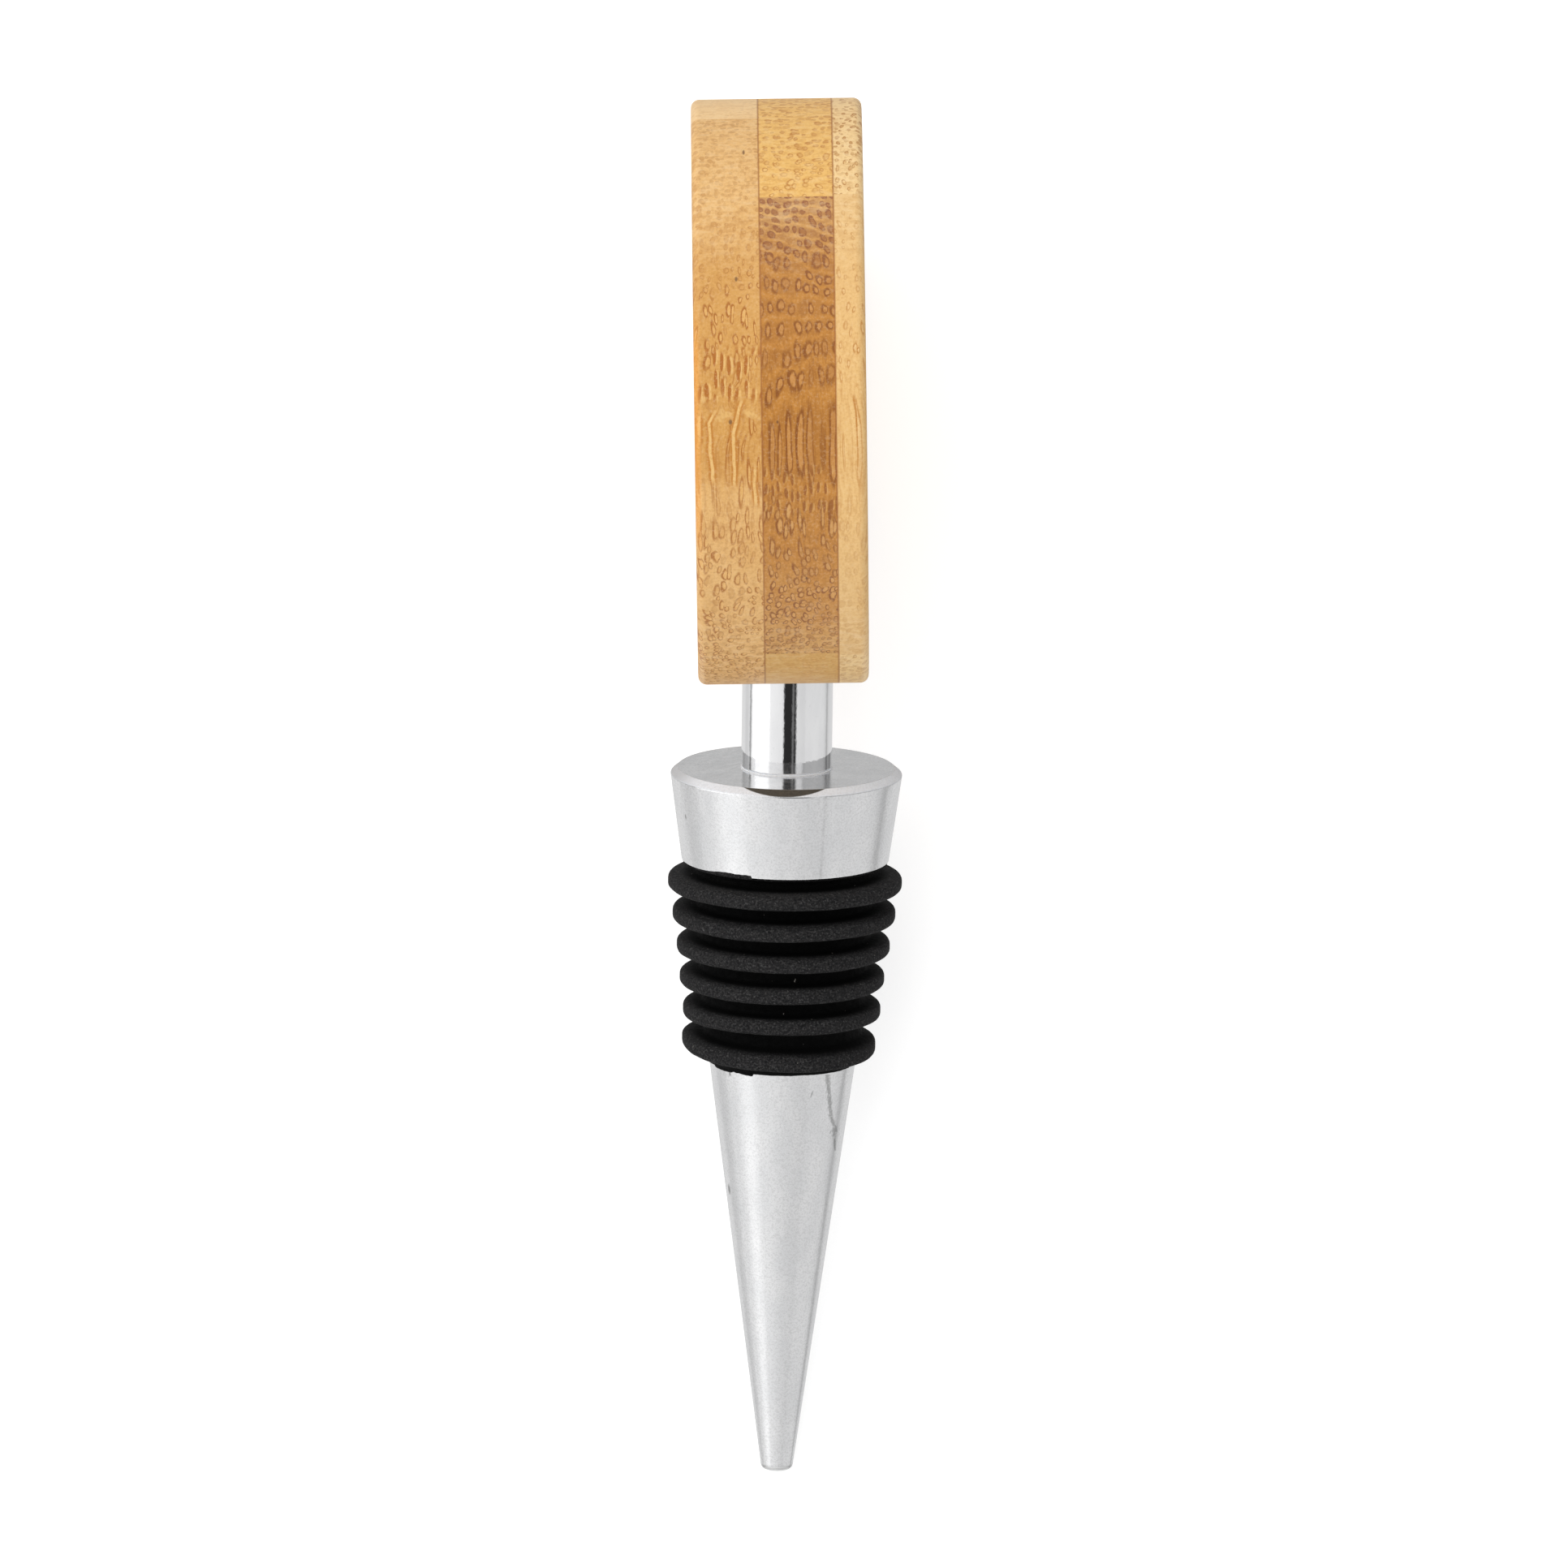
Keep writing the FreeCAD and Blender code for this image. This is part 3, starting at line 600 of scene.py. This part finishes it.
STRIPS = {
    "left_front_strip": Strip(
        seed=3, back_tone=rgb(238, 191, 125), front_tone=rgb(218, 163, 89),
        back_rim=rgb(186, 128, 72), front_rim=rgb(176, 108, 44), heart=rgb(230, 178, 104),
        pitch=(0.74, 0.6), half=(0.19, 0.2), grow=(0.85, 1.2), show=1.25,
        fade=(-12.0, 0.9, 6.0, 1.0), deepen=(-5.0, -1.0, 0.3), streak=0.4, knot=True,
        strokes=Strokes(low=KNOT + 0.5, high=KNOT + 5.3, pitch=(0.72, 2.35), half=(0.2, 0.95),
                        tone=rgb(178, 106, 40), edge=0.6)),
    "left_centre_strip": Strip(
        seed=11, back_tone=rgb(248, 208, 150), front_tone=rgb(246, 204, 142),
        back_rim=rgb(216, 170, 116), front_rim=rgb(216, 170, 116), heart=rgb(244, 208, 152),
        show=0.45),
    "left_rear_strip": Strip(
        seed=17, back_tone=rgb(238, 192, 130), front_tone=rgb(222, 166, 96),
        back_rim=rgb(196, 140, 82), front_rim=rgb(186, 126, 60), heart=rgb(238, 196, 130),
        show=0.8),
    "middle_front_strip": Strip(
        seed=5, back_tone=rgb(225, 174, 106), front_tone=rgb(200, 137, 62),
        back_rim=rgb(156, 100, 72), front_rim=rgb(144, 86, 36), heart=rgb(204, 144, 78),
        pitch=(0.7, 0.6), half=(0.21, 0.2), hollow=(20.5, 23.5), show=1.3,
        fade=(-13.0, 1.05, 1.0, 1.0), deepen=(-14.0, -4.0, 0.8), streak=0.5, rows=True,
        strokes=Strokes(low=-6.6, high=-1.8, pitch=(0.62, 1.7), half=(0.15, 0.6),
                        tone=rgb(158, 98, 46), edge=0.25)),
    "middle_centre_strip": Strip(
        seed=8, back_tone=rgb(242, 193, 112), front_tone=rgb(234, 180, 96),
        back_rim=rgb(198, 134, 66), front_rim=rgb(198, 134, 66), heart=rgb(246, 202, 126),
        pitch=(0.8, 0.75), half=(0.26, 0.24), grow=(1.1, 0.5), show=0.9, foot=0.22),
    "middle_rear_strip": Strip(
        seed=14, back_tone=rgb(201, 152, 97), front_tone=rgb(192, 138, 80),
        back_rim=rgb(156, 102, 62), front_rim=rgb(150, 94, 46), heart=rgb(224, 176, 116),
        pitch=(0.8, 0.7), show=1.3, streak=0.5),
    "right_front_strip": Strip(
        seed=21, back_tone=rgb(239, 199, 138), front_tone=rgb(236, 192, 126),
        back_rim=rgb(212, 160, 96), front_rim=rgb(196, 132, 62), heart=rgb(246, 208, 146),
        pitch=(0.95, 0.75), half=(0.19, 0.2), show=0.9, streak=0.45),
    "right_centre_strip": Strip(
        seed=25, back_tone=rgb(248, 212, 152), front_tone=rgb(236, 192, 124),
        back_rim=rgb(186, 126, 64), front_rim=rgb(186, 126, 64), heart=rgb(240, 200, 136),
        pitch=(0.74, 0.75), half=(0.19, 0.26), show=1.1),
    "right_rear_strip": Strip(
        seed=29, back_tone=rgb(243, 206, 148), front_tone=rgb(234, 188, 122),
        back_rim=rgb(204, 150, 88), front_rim=rgb(204, 150, 88), heart=rgb(238, 200, 138),
        pitch=(1.1, 0.9), show=0.6),
}
for node, strip in STRIPS.items():
    dress(node, Bamboo(node, strip).material)


# Metal: bright post, satin casting with its marks, and the bolt's steel.
# Each finish drifts between two tones, and some have a third for their flecks or grain
CHROME_TONES = ((0.95, 0.95, 0.955), (0.9, 0.9, 0.91))
CHROME_FLECK = (0.7, 0.7, 0.7)
CAST_TONES = ((0.89, 0.89, 0.895), (0.82, 0.825, 0.835))
CAST_GRAIN = (0.7, 0.7, 0.705)
CROWN_REFLECTION_TONES = ((0.5, 0.51, 0.53), (0.78, 0.8, 0.84))
CROWN_GRAIN = (0.58, 0.59, 0.61)
BOLT_TONES = ((0.55, 0.55, 0.56), (0.7, 0.7, 0.71))
# Tones of the painted highlight at the post's foot and on the boss, of the crown's dark painted
# reflection at its darkest and palest, of the marks and of the tip
PAINTED_HIGHLIGHT = (0.93, 0.96, 1.0)
DARK_REFLECTION = ((0.03, 0.027, 0.022), (0.09, 0.08, 0.065))
MARK = (0.2, 0.2, 0.195)
TIP_TONE = (0.45, 0.45, 0.45)
# Marks on the casting, by angle in degrees round the axis from the front, and by station.
# Specks: angle, station, radius
MARKS = ((-64.4, 64.4, 0.13), (-68.3, 27.7, 0.26), (-46.0, 39.6, 0.12))
# Scratches: angle and station at the upper end, the same at the lower end, half width
SCRATCHES = ((38.0, 39.8, 47.7, 35.45, 0.4), (47.7, 35.45, 54.0, 34.4, 0.38),
             (57.5, 33.1, 62.0, 31.8, 0.28), (26.0, 38.3, 24.4, 37.7, 0.1))
# Blotch in the middle of the long scratch: angle, station, half width, half length
BLOTCH = (56.0, 33.85, 0.85, 0.9)
# Faint streak down the collar: angle and half width in degrees
STREAK = (20.0, 0.9)
# Painted reflection on the crown, where it mirrors the post and the handle's shaded underside: angle of
# its middle, degrees from there to its ends, radius of its outer edge in the middle, and how much that
# radius changes towards the ends
DARK_REFLECTION_ANGLE = -1.0
DARK_REFLECTION_REACH = 23.0
DARK_REFLECTION_EDGE = 10.98
DARK_REFLECTION_NARROWING = -0.76
# Where the post's foot has its painted highlight and the tip is dull, by station, and where the crown's
# painted reflection turns pale and the casting is more uneven, by angle, all as step takes them
PAINTED_HIGHLIGHT_STATIONS = (POST_FOOT + 0.12, POST_FOOT + 0.06)
DULL_TIP = (0.7, 0.3)
PALE_CROWN_REFLECTION = (-75, -45)
UNEVEN_SIDE = (-20.0, -80.0, 0.25, 0.6)
# Rubber: two tones of the dusty rims and two of the grain in them, the painted shade of the valleys, and
# the lint
DUST_TONES = (rgb(30, 30, 31), rgb(44, 43, 43))
PALE_DUST = rgb(74, 73, 73)
DARK_DUST = rgb(13, 13, 14)
VALLEY_SHADE = (0.0006, 0.0006, 0.0006)
LINT_TONE = rgb(150, 146, 140)


def chrome():
    m = bpy.data.materials.new("chrome_post")
    g = Graph(m)
    point = g.local(TIP, UPRIGHT)
    smear = g.noise(g.scaled(point, (1.0, 0.25, 1.0)), 0.9, 2.0)
    turned = g.noise(g.scaled(point, (0.05, 14.0, 0.05)), 1.0, 2.0)
    fleck = g.noise(g.scaled(point, (1.0, 0.5, 1.0)), 6.0, 2.0, 0.7)
    wavy = g.noise(g.scaled(point, (1.0, 0.6, 1.0)), 2.4, 2.0, 0.6)
    normal = g.bump(wavy, 0.3, 0.00002, g.bump(turned, 0.02, 0.00002))
    colour = g.mix(g.step(smear, 0.3, 0.7), *CHROME_TONES)
    colour = g.mix(g.step(fleck, 0.62, 0.75, 0.0, 0.3), colour, CHROME_FLECK)
    # the rim of the foot is a painted highlight: a near-white band, dull and not metallic, that scatters
    # light
    _, v, _ = g.split(point)
    foot = g.step(v, *PAINTED_HIGHLIGHT_STATIONS)
    rough = g.times(foot, 0.6, g.step(smear, 0.3, 0.75, 0.03, 0.06))
    g.surface(g.mix(foot, colour, PAINTED_HIGHLIGHT), rough, normal, Metallic=g.times(foot, -1.0, 1.0))
    return m


def casting_marks(g, point, angle):
    """How dark the marks on the casting make this point."""
    u, v, w = g.split(point)
    reach = g.times(g.length(u, w), math.radians(1))
    broken = g.noise(g.scaled(point, (1.0, 0.6, 1.0)), 3.4, 3.0, 0.75)
    rough_edge = g.minus(broken, 0.5)
    dark = 0.0
    for middle, station, radius in MARKS:
        away = g.length(g.times(g.minus(angle, middle), reach), g.times(g.minus(v, station), 0.55))
        dark = g.larger(dark, g.step(away, radius * 1.5, radius * 0.5, 0.0, 0.8))
    for upper_angle, upper, lower_angle, lower, width in SCRATCHES:
        course = g.slope(v, upper, lower, upper_angle, lower_angle)
        away = g.absolute(g.times(g.minus(angle, course), reach))
        away = g.times(rough_edge, width * 2.5, away)
        length = g.times(g.span(v, lower, upper, 0.1), g.step(broken, 0.3, 0.45, 0.4, 1.0))
        dark = g.larger(dark, g.times(g.step(away, width, width * 0.2, 0.0, 0.6), length))
    middle, station, width, height = BLOTCH
    away = g.length(g.times(g.times(g.minus(angle, middle), reach), 1 / width),
                    g.times(g.minus(v, station), 1 / height))
    dark = g.larger(dark, g.step(g.times(rough_edge, 2.6, away), 0.8, 0.3, 0.0, 0.55))
    streak = g.times(g.bell(angle, *STREAK), g.span(v, COLLAR_FOOT, COLLAR_TOP, 0.3))
    return g.larger(dark, g.times(streak, g.step(broken, 0.35, 0.65, 0.03, 0.22)))


def casting():
    m = bpy.data.materials.new("cast_body")
    g = Graph(m)
    point = g.local(TIP, UPRIGHT)
    u, v, w = g.split(point)
    angle = g.math("DEGREES", g.math("ARCTAN2", u, w))
    out = g.length(u, w)
    peel = g.noise(point, 1.1, 1.0, 0.5)
    grain = g.noise(point, 5.0, 3.0, 0.65)
    flow = g.noise(g.scaled(point, (1.0, 0.4, 1.0)), 0.5, 2.0)
    colour = g.mix(g.step(flow, 0.3, 0.7), *CAST_TONES)
    colour = g.mix(g.step(grain, 0.42, 0.66, 0.0, 0.75), colour, CAST_GRAIN)
    colour = g.mix(casting_marks(g, point, angle), colour, MARK)
    # boss and crown are dull and scatter light; the boss is painted near-white as a highlight, the
    # crown's tones are a painted reflection, with a dark painted reflection of the post and the handle's
    # shaded underside on the crown below the post
    boss_highlight = g.times(g.step(v, COLLAR_TOP + 0.01, COLLAR_TOP + 0.03),
                   g.step(out, POST_RADIUS - 0.5, POST_RADIUS - 0.3))
    crown_inside = COLLAR_TOP_RADIUS - CROWN_WIDTH
    crown = g.times(g.step(v, COLLAR_RIM - 0.05, COLLAR_RIM + 0.05),
                    g.step(out, crown_inside - 0.07, crown_inside + 0.03))
    # painted reflection: a dark brown lens on the crown below the post, where it mirrors the post and
    # the handle's shaded underside
    off = g.over(g.minus(angle, DARK_REFLECTION_ANGLE), DARK_REFLECTION_REACH)
    brink = g.times(g.times(off, off), DARK_REFLECTION_NARROWING, DARK_REFLECTION_EDGE)
    dark_reflection = g.times(crown, g.step(g.minus(brink, out), -0.05, 0.05))
    dull = g.larger(crown, boss_highlight)
    # painted reflection: the dull crown is darker beyond the left and pale further round, in place of
    # what it mirrors
    pale = g.mix(g.step(angle, *PALE_CROWN_REFLECTION), *CROWN_REFLECTION_TONES)
    pale = g.mix(g.step(grain, 0.4, 0.65, 0.0, 0.4), pale, CROWN_GRAIN)
    colour = g.mix(crown, colour, pale)
    # painted highlight: the thin boss under the post is painted near-white
    colour = g.mix(boss_highlight, colour, PAINTED_HIGHLIGHT)
    colour = g.mix(dark_reflection, colour, g.mix(grain, *DARK_REFLECTION))
    colour = g.mix(g.step(v, *DULL_TIP), colour, TIP_TONE)
    uneven = g.bump(peel, g.step(angle, *UNEVEN_SIDE), 0.00006)
    normal = g.bump(grain, 0.3, 0.000012, uneven)
    rough = g.times(dull, 0.5, g.step(flow, 0.3, 0.7, 0.15, 0.2))
    g.surface(colour, rough, normal, Metallic=g.times(dull, -1.0, 1.0))
    return m


def steel():
    m = bpy.data.materials.new("bolt_steel")
    g = Graph(m)
    drawn = g.noise(g.scaled(g.local(TIP, UPRIGHT), (2.0, 0.1, 2.0)), 2.0, 2.0)
    colour = g.mix(drawn, *BOLT_TONES)
    g.surface(colour, g.step(drawn, 0.3, 0.7, 0.3, 0.45), g.bump(drawn, 0.2, 0.00002), Metallic=1.0)
    return m


def rubber():
    """Dusty grey on the rims, painted shade of deep black in the valleys, with a little lint."""
    m = bpy.data.materials.new("black_rubber")
    g = Graph(m)
    point = g.local(TIP, UPRIGHT)
    u, v, w = g.split(point)
    root = g.slope(v, CONE_LENGTH, COLLAR_FOOT, ROOT_FOOT_RADIUS, ROOT_TOP_RADIUS)
    rim = g.step(g.minus(g.length(u, w), root), 0.7, 1.7)
    grain = g.noise(point, 5.5, 2.0, 0.75)
    dust = g.noise(point, 2.0, 3.0, 0.7)
    lint = g.step(g.noise(g.scaled(point, (1.0, 0.6, 1.0), 4.0), 2.6, 1.0), 0.79, 0.82)
    face = g.mix(g.step(dust, 0.35, 0.75), *DUST_TONES)
    face = g.mix(g.step(grain, 0.5, 0.75), face, PALE_DUST)
    face = g.mix(g.step(grain, 0.5, 0.3), face, DARK_DUST)
    # painted shade: the valleys between the rims are near black
    colour = g.mix(rim, VALLEY_SHADE, face)
    colour = g.mix(g.times(lint, 0.6), colour, LINT_TONE)
    normal = g.bump(grain, 0.3, 0.00003)
    g.surface(colour, g.step(dust, 0.3, 0.7, 0.75, 0.9), normal, Specular_IOR_Level=0.12)
    return m


BLACK = rubber()
dress("post", chrome())
dress("stopper_body", casting())
dress("hanger_bolt", steel())
dress("seal_sleeve", BLACK)

# Rubber sleeve with its rings as they sit: a little off the axis, uneven, the last pulled askew
RING_COUNT = 6
FIRST_DROP = 2.07
LAST_RISE = 1.78
FIRST_RIM = 22.25 / 2
LAST_RIM = 18.45 / 2
EASING = 1.42
RIM_THICKNESS = 1.3
FOOT_THICKNESS = 1.9
RIM_ROUNDING = 0.5
VALLEY_ROUNDING = 0.4
PITCH = (SLEEVE_LENGTH - FIRST_DROP - LAST_RISE) / (RING_COUNT - 1)
# How far each ring sits to the right, and how far the last one is raised at the right and the front
RING_SHIFT = (0.0, -0.04, -0.07, -0.15, -0.14, -0.38)
LAST_RISE_ACROSS = -0.28
LAST_RISE_FRONT = -0.62
ROUND_STEPS = 5
TURN_STEPS = 300


def root_radius(station):
    share = (station - CONE_LENGTH) / SLEEVE_LENGTH
    return ROOT_FOOT_RADIUS + (ROOT_TOP_RADIUS - ROOT_FOOT_RADIUS) * share


def rim_radius(ring):
    return LAST_RIM + (FIRST_RIM - LAST_RIM) * (1 - ring / (RING_COUNT - 1)) ** EASING


def cone_radius(station):
    return TIP_RADIUS + (CONE_RADIUS - TIP_RADIUS) * station / CONE_LENGTH


def ring_middle(ring):
    return COLLAR_FOOT - FIRST_DROP - ring * PITCH


def rounded(corners):
    """An outline through corners of radius, station and rounding, with arcs at the rounded ones."""
    points = []
    for before, here, after in zip(corners[-1:] + corners[:-1], corners, corners[1:] + corners[:1]):
        corner = Vector(here[:2])
        rounding = here[2]
        if not rounding:
            points.append(corner)
            continue
        one = (Vector(before[:2]) - corner).normalized()
        two = (Vector(after[:2]) - corner).normalized()
        half = one.angle(two) / 2
        middle = corner + (one + two).normalized() * rounding / math.sin(half)
        start = corner + one * rounding / math.tan(half) - middle
        sweep = start.angle_signed(corner + two * rounding / math.tan(half) - middle)
        for i in range(ROUND_STEPS + 1):
            points.append(middle + Matrix.Rotation(-sweep * i / ROUND_STEPS, 2) @ start)
    return points


def turned_piece(name, outline):
    """A closed piece round the axis. outline gives its points (across, station, deep) at an angle."""
    mesh = bpy.data.meshes.new(name)
    rows = [outline(math.tau * i / TURN_STEPS) for i in range(TURN_STEPS)]
    count = len(rows[0])
    points = [place(*p) for row in rows for p in row]
    faces = []
    for i in range(TURN_STEPS):
        here, there = i * count, (i + 1) % TURN_STEPS * count
        for j in range(count):
            k = (j + 1) % count
            faces.append((here + j, here + k, there + k, there + j))
    mesh.from_pydata(points, [], faces)
    shape = bmesh.new()
    shape.from_mesh(mesh)
    bmesh.ops.recalc_face_normals(shape, faces=shape.faces)
    shape.to_mesh(mesh)
    shape.free()
    mesh.shade_smooth()
    mesh.materials.append(BLACK)
    piece = add_object(name, mesh)
    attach(piece, "root")
    return piece


def sleeve_corners():
    corners = [(CORE_RADIUS, CONE_LENGTH, 0), (ROOT_FOOT_RADIUS, CONE_LENGTH, 0)]
    for ring in reversed(range(RING_COUNT)):
        middle = ring_middle(ring)
        low, high = middle - FOOT_THICKNESS / 2, middle + FOOT_THICKNESS / 2
        corners += [
            (root_radius(low), low, VALLEY_ROUNDING),
            (rim_radius(ring), middle - RIM_THICKNESS / 2, RIM_ROUNDING),
            (rim_radius(ring), middle + RIM_THICKNESS / 2, RIM_ROUNDING),
            (root_radius(high), high, VALLEY_ROUNDING),
        ]
    return corners + [(ROOT_TOP_RADIUS, COLLAR_FOOT, 0), (CORE_RADIUS, COLLAR_FOOT, 0)]


SECTION = rounded(sleeve_corners())


def sleeve_outline(angle):
    """The sleeve's section at an angle, with each ring's own shift, tilt and unevenness."""
    side, front = math.sin(angle), math.cos(angle)
    points = []
    for radius, station in SECTION:
        ring = min(range(RING_COUNT), key=lambda i: abs(ring_middle(i) - station))
        root = root_radius(station)
        out = max(0.0, min(1.0, (radius - root) / (rim_radius(ring) - root)))
        wave = noise.noise(Vector((side * 1.3, front * 1.3, ring * 3.7)))
        fine = noise.noise(Vector((side * 6.0, front * 6.0, ring * 5.1 + 40)))
        reach = radius - out * (0.03 + 0.03 * wave + 0.02 * fine)
        rise = out * (0.07 * wave + 0.03 * fine)
        if ring == RING_COUNT - 1:
            rise += out * (LAST_RISE_ACROSS * side + LAST_RISE_FRONT * max(front, 0))
        points.append((reach * side + RING_SHIFT[ring] * out, station + rise, reach * front))
    return points


def ragged_edge(side, front, coarse, seed):
    """Unevenness of a torn edge, about -1 to 1."""
    broad = noise.noise(Vector((side * coarse, front * coarse, seed)))
    return broad + 0.6 * noise.noise(Vector((side * coarse * 4, front * coarse * 4, seed + 7)))


def degrees_from_front(angle):
    return math.degrees(math.remainder(angle, math.tau))


def swept(section, side, front):
    return [(radius * side, station, radius * front) for radius, station in section]


# Torn film of rubber on the cone under the sleeve: angles between which it hangs lower, how low
LIP_SPANS = ((-66, -24, 0.34), (-24, 66, 0.15))
LIP_LEAST = 0.03


def lip_outline(angle):
    side, front = math.sin(angle), math.cos(angle)
    turned = degrees_from_front(angle)
    hang = next((drop for start, end, drop in LIP_SPANS if start < turned < end), LIP_LEAST)
    drop = max(LIP_LEAST, hang * (1 + 0.4 * ragged_edge(side, front, 4.0, 9.0)))
    top, foot = CONE_LENGTH + 0.2, CONE_LENGTH - drop
    outer = cone_radius(foot)
    section = ((ROOT_FOOT_RADIUS - 0.02, top), (outer + 0.12, foot + 0.1), (outer + 0.05, foot),
               (outer - 0.1, foot), (CONE_RADIUS - 0.3, top))
    return swept(section, side, front)


# Film of rubber squeezed out over the collar's lower edge, at the left of the front: angles from
# and to, the angle from which it is full, and its height. Elsewhere it hides in the collar.
FLASH_FROM = -62.0
FLASH_TO = -19.0
FLASH_FULL = -34.0
FLASH_HEIGHT = 0.36
HIDDEN_HEIGHT = -0.05
HIDDEN_DEPTH = 0.08


def flash_outline(angle):
    side, front = math.sin(angle), math.cos(angle)
    turned = degrees_from_front(angle)
    height, reach = HIDDEN_HEIGHT, COLLAR_FOOT_RADIUS - HIDDEN_DEPTH
    if FLASH_FROM < turned < FLASH_TO:
        growth = min(1.0, (turned - FLASH_FROM) / (FLASH_FULL - FLASH_FROM))
        height = FLASH_HEIGHT * growth * (1 + 0.3 * ragged_edge(side, front, 7.0, 5.0))
        reach = COLLAR_FOOT_RADIUS + 0.06 + 0.14 * height
    top = COLLAR_FOOT + height
    section = ((ROOT_TOP_RADIUS, COLLAR_FOOT - 0.12), (COLLAR_FOOT_RADIUS - 0.1, COLLAR_FOOT - 0.1),
               (reach, COLLAR_FOOT + 0.02), (reach, top), (reach - 0.12, top + 0.01),
               (COLLAR_FOOT_RADIUS - 0.4, COLLAR_FOOT + 0.1), (ROOT_TOP_RADIUS, COLLAR_FOOT + 0.05))
    return swept(section, side, front)


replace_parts(turned_piece("ringed_sleeve", sleeve_outline), "seal_sleeve")
turned_piece("sleeve_lip", lip_outline)
turned_piece("sleeve_flash", flash_outline)

# Stage: a pale floor that keeps a faint shadow, and shows white to the camera
FLOOR_HALF = 4
FLOOR_TONE = (0.6, 0.6, 0.6)
FLOOR_LIFT = 0.66
WHITE = (1, 1, 1)


def lay_floor():
    mesh = bpy.data.meshes.new("floor")
    corners = [(x * FLOOR_HALF, y * FLOOR_HALF, 0) for x, y in ((-1, -1), (1, -1), (1, 1), (-1, 1))]
    mesh.from_pydata(corners, [], [(0, 1, 2, 3)])
    floor = add_object("floor", mesh)
    floor.visible_glossy = False
    pale = bpy.data.materials.new("pale_floor")
    mesh.materials.append(pale)
    g = Graph(pale)
    seen = g.add("ShaderNodeLightPath", output="Is Camera Ray")
    matte = g.add("ShaderNodeBsdfDiffuse", {"Color": FLOOR_TONE})
    lift = g.add("ShaderNodeEmission", {"Color": WHITE, "Strength": g.times(seen, FLOOR_LIFT)})
    g.add("ShaderNodeOutputMaterial", {0: g.add("ShaderNodeAddShader", {0: matte, 1: lift})})


# World: white to the camera, a soft studio round the stopper for everything else. Its angles are
# degrees round the stopper from the front, and its heights run from -1 (below the tip) to 1.
# Panels: from, to and softness in degrees, change of level, lowest and highest point
PANELS = (
    (-98, -46, 4, 0.36, -0.27, 0.6),
    (-74, -47, 8, 0.17, -0.6, -0.32),
    (-110, -103, 1.5, -0.42, -0.27, 0.6),
    (-113, -84, 3, -0.08, -0.6, -0.3),
    (47, 112, 3, 0.05, -0.6, 1.0),
    (118, 126, 2, -0.16, -0.6, 0.6),
    (-150, -99, 3, -0.2, 0.08, 0.6),
    (-98, -88, 3, -0.35, 0.08, 0.6),
    (40, 150, 3, -0.28, 0.08, 0.6),
)
# Dark gap at the front, which the post reflects, and a gleam in it: from, to and softness
GAP = (-8.5, 23.5, 3)
GAP_HEIGHTS = (-0.31, 0.36, 0.03)
GAP_DARKNESS = -0.97
GLEAM = (12.5, 18, 2)
GLEAM_LEVEL = 0.13


def light_world():
    world = bpy.data.worlds.new("studio")
    bpy.context.scene.world = world
    g = Graph(world)
    ray = g.add("ShaderNodeTexCoord", output="Generated")
    side, front, high = (
        g.add("ShaderNodeVectorMath", {0: ray, 1: axis}, output="Value", operation="DOT_PRODUCT")
        for axis in (ACROSS, DEEP, ALONG)
    )
    angle = g.math("DEGREES", g.math("ARCTAN2", side, front))
    # the level falls from left to right, further at both rear sides, and rises under the tip
    level = g.step(angle, -60, 46, 0.93, 0.69)
    level = g.plus(level, g.step(angle, 96, 122, 0.0, -0.08))
    level = g.plus(level, g.step(angle, -96, -122, 0.0, -0.27))
    level = g.plus(level, g.step(high, -0.55, -0.68, 0.0, 0.4))
    # behind the stopper it falls with height
    behind = g.step(g.absolute(angle), 126, 140)
    level = g.plus(level, g.times(behind, g.times(high, -0.38)))
    for start, end, soft, change, low, top in PANELS:
        filled = g.times(g.span(angle, start, end, soft), g.span(high, low, top, 0.05))
        level = g.times(filled, change, level)
    gap = g.times(g.span(angle, *GAP), g.span(high, *GAP_HEIGHTS))
    level = g.times(level, g.times(gap, GAP_DARKNESS, 1.0))
    level = g.times(g.times(g.span(angle, *GLEAM), gap), GLEAM_LEVEL, level)
    soft_light = g.add("ShaderNodeBackground", {"Color": WHITE, "Strength": level})
    white = g.add("ShaderNodeBackground", {"Color": WHITE, "Strength": 1.0})
    seen = g.add("ShaderNodeLightPath", output="Is Camera Ray")
    g.add("ShaderNodeOutputWorld", {0: g.add("ShaderNodeMixShader", {0: seen, 1: soft_light, 2: white})})


# Lamp: one soft square key from the upper left, in metres and watts
KEY_SIZE = 1.4
KEY_POWER = 15.5
KEY_PLACE = ACROSS * -0.5 + ALONG * 1.3 + DEEP * 1.6


def hang_lamp():
    data = bpy.data.lights.new("key", "AREA")
    data.size = KEY_SIZE
    data.energy = KEY_POWER
    key = add_object("key", data)
    key.location = KEY_PLACE
    key.rotation_euler = (-KEY_PLACE).to_track_quat("-Z", "Y").to_euler()
    key.visible_glossy = False


lay_floor()
light_world()
hang_lamp()

bpy.context.scene.view_settings.view_transform = "Standard"
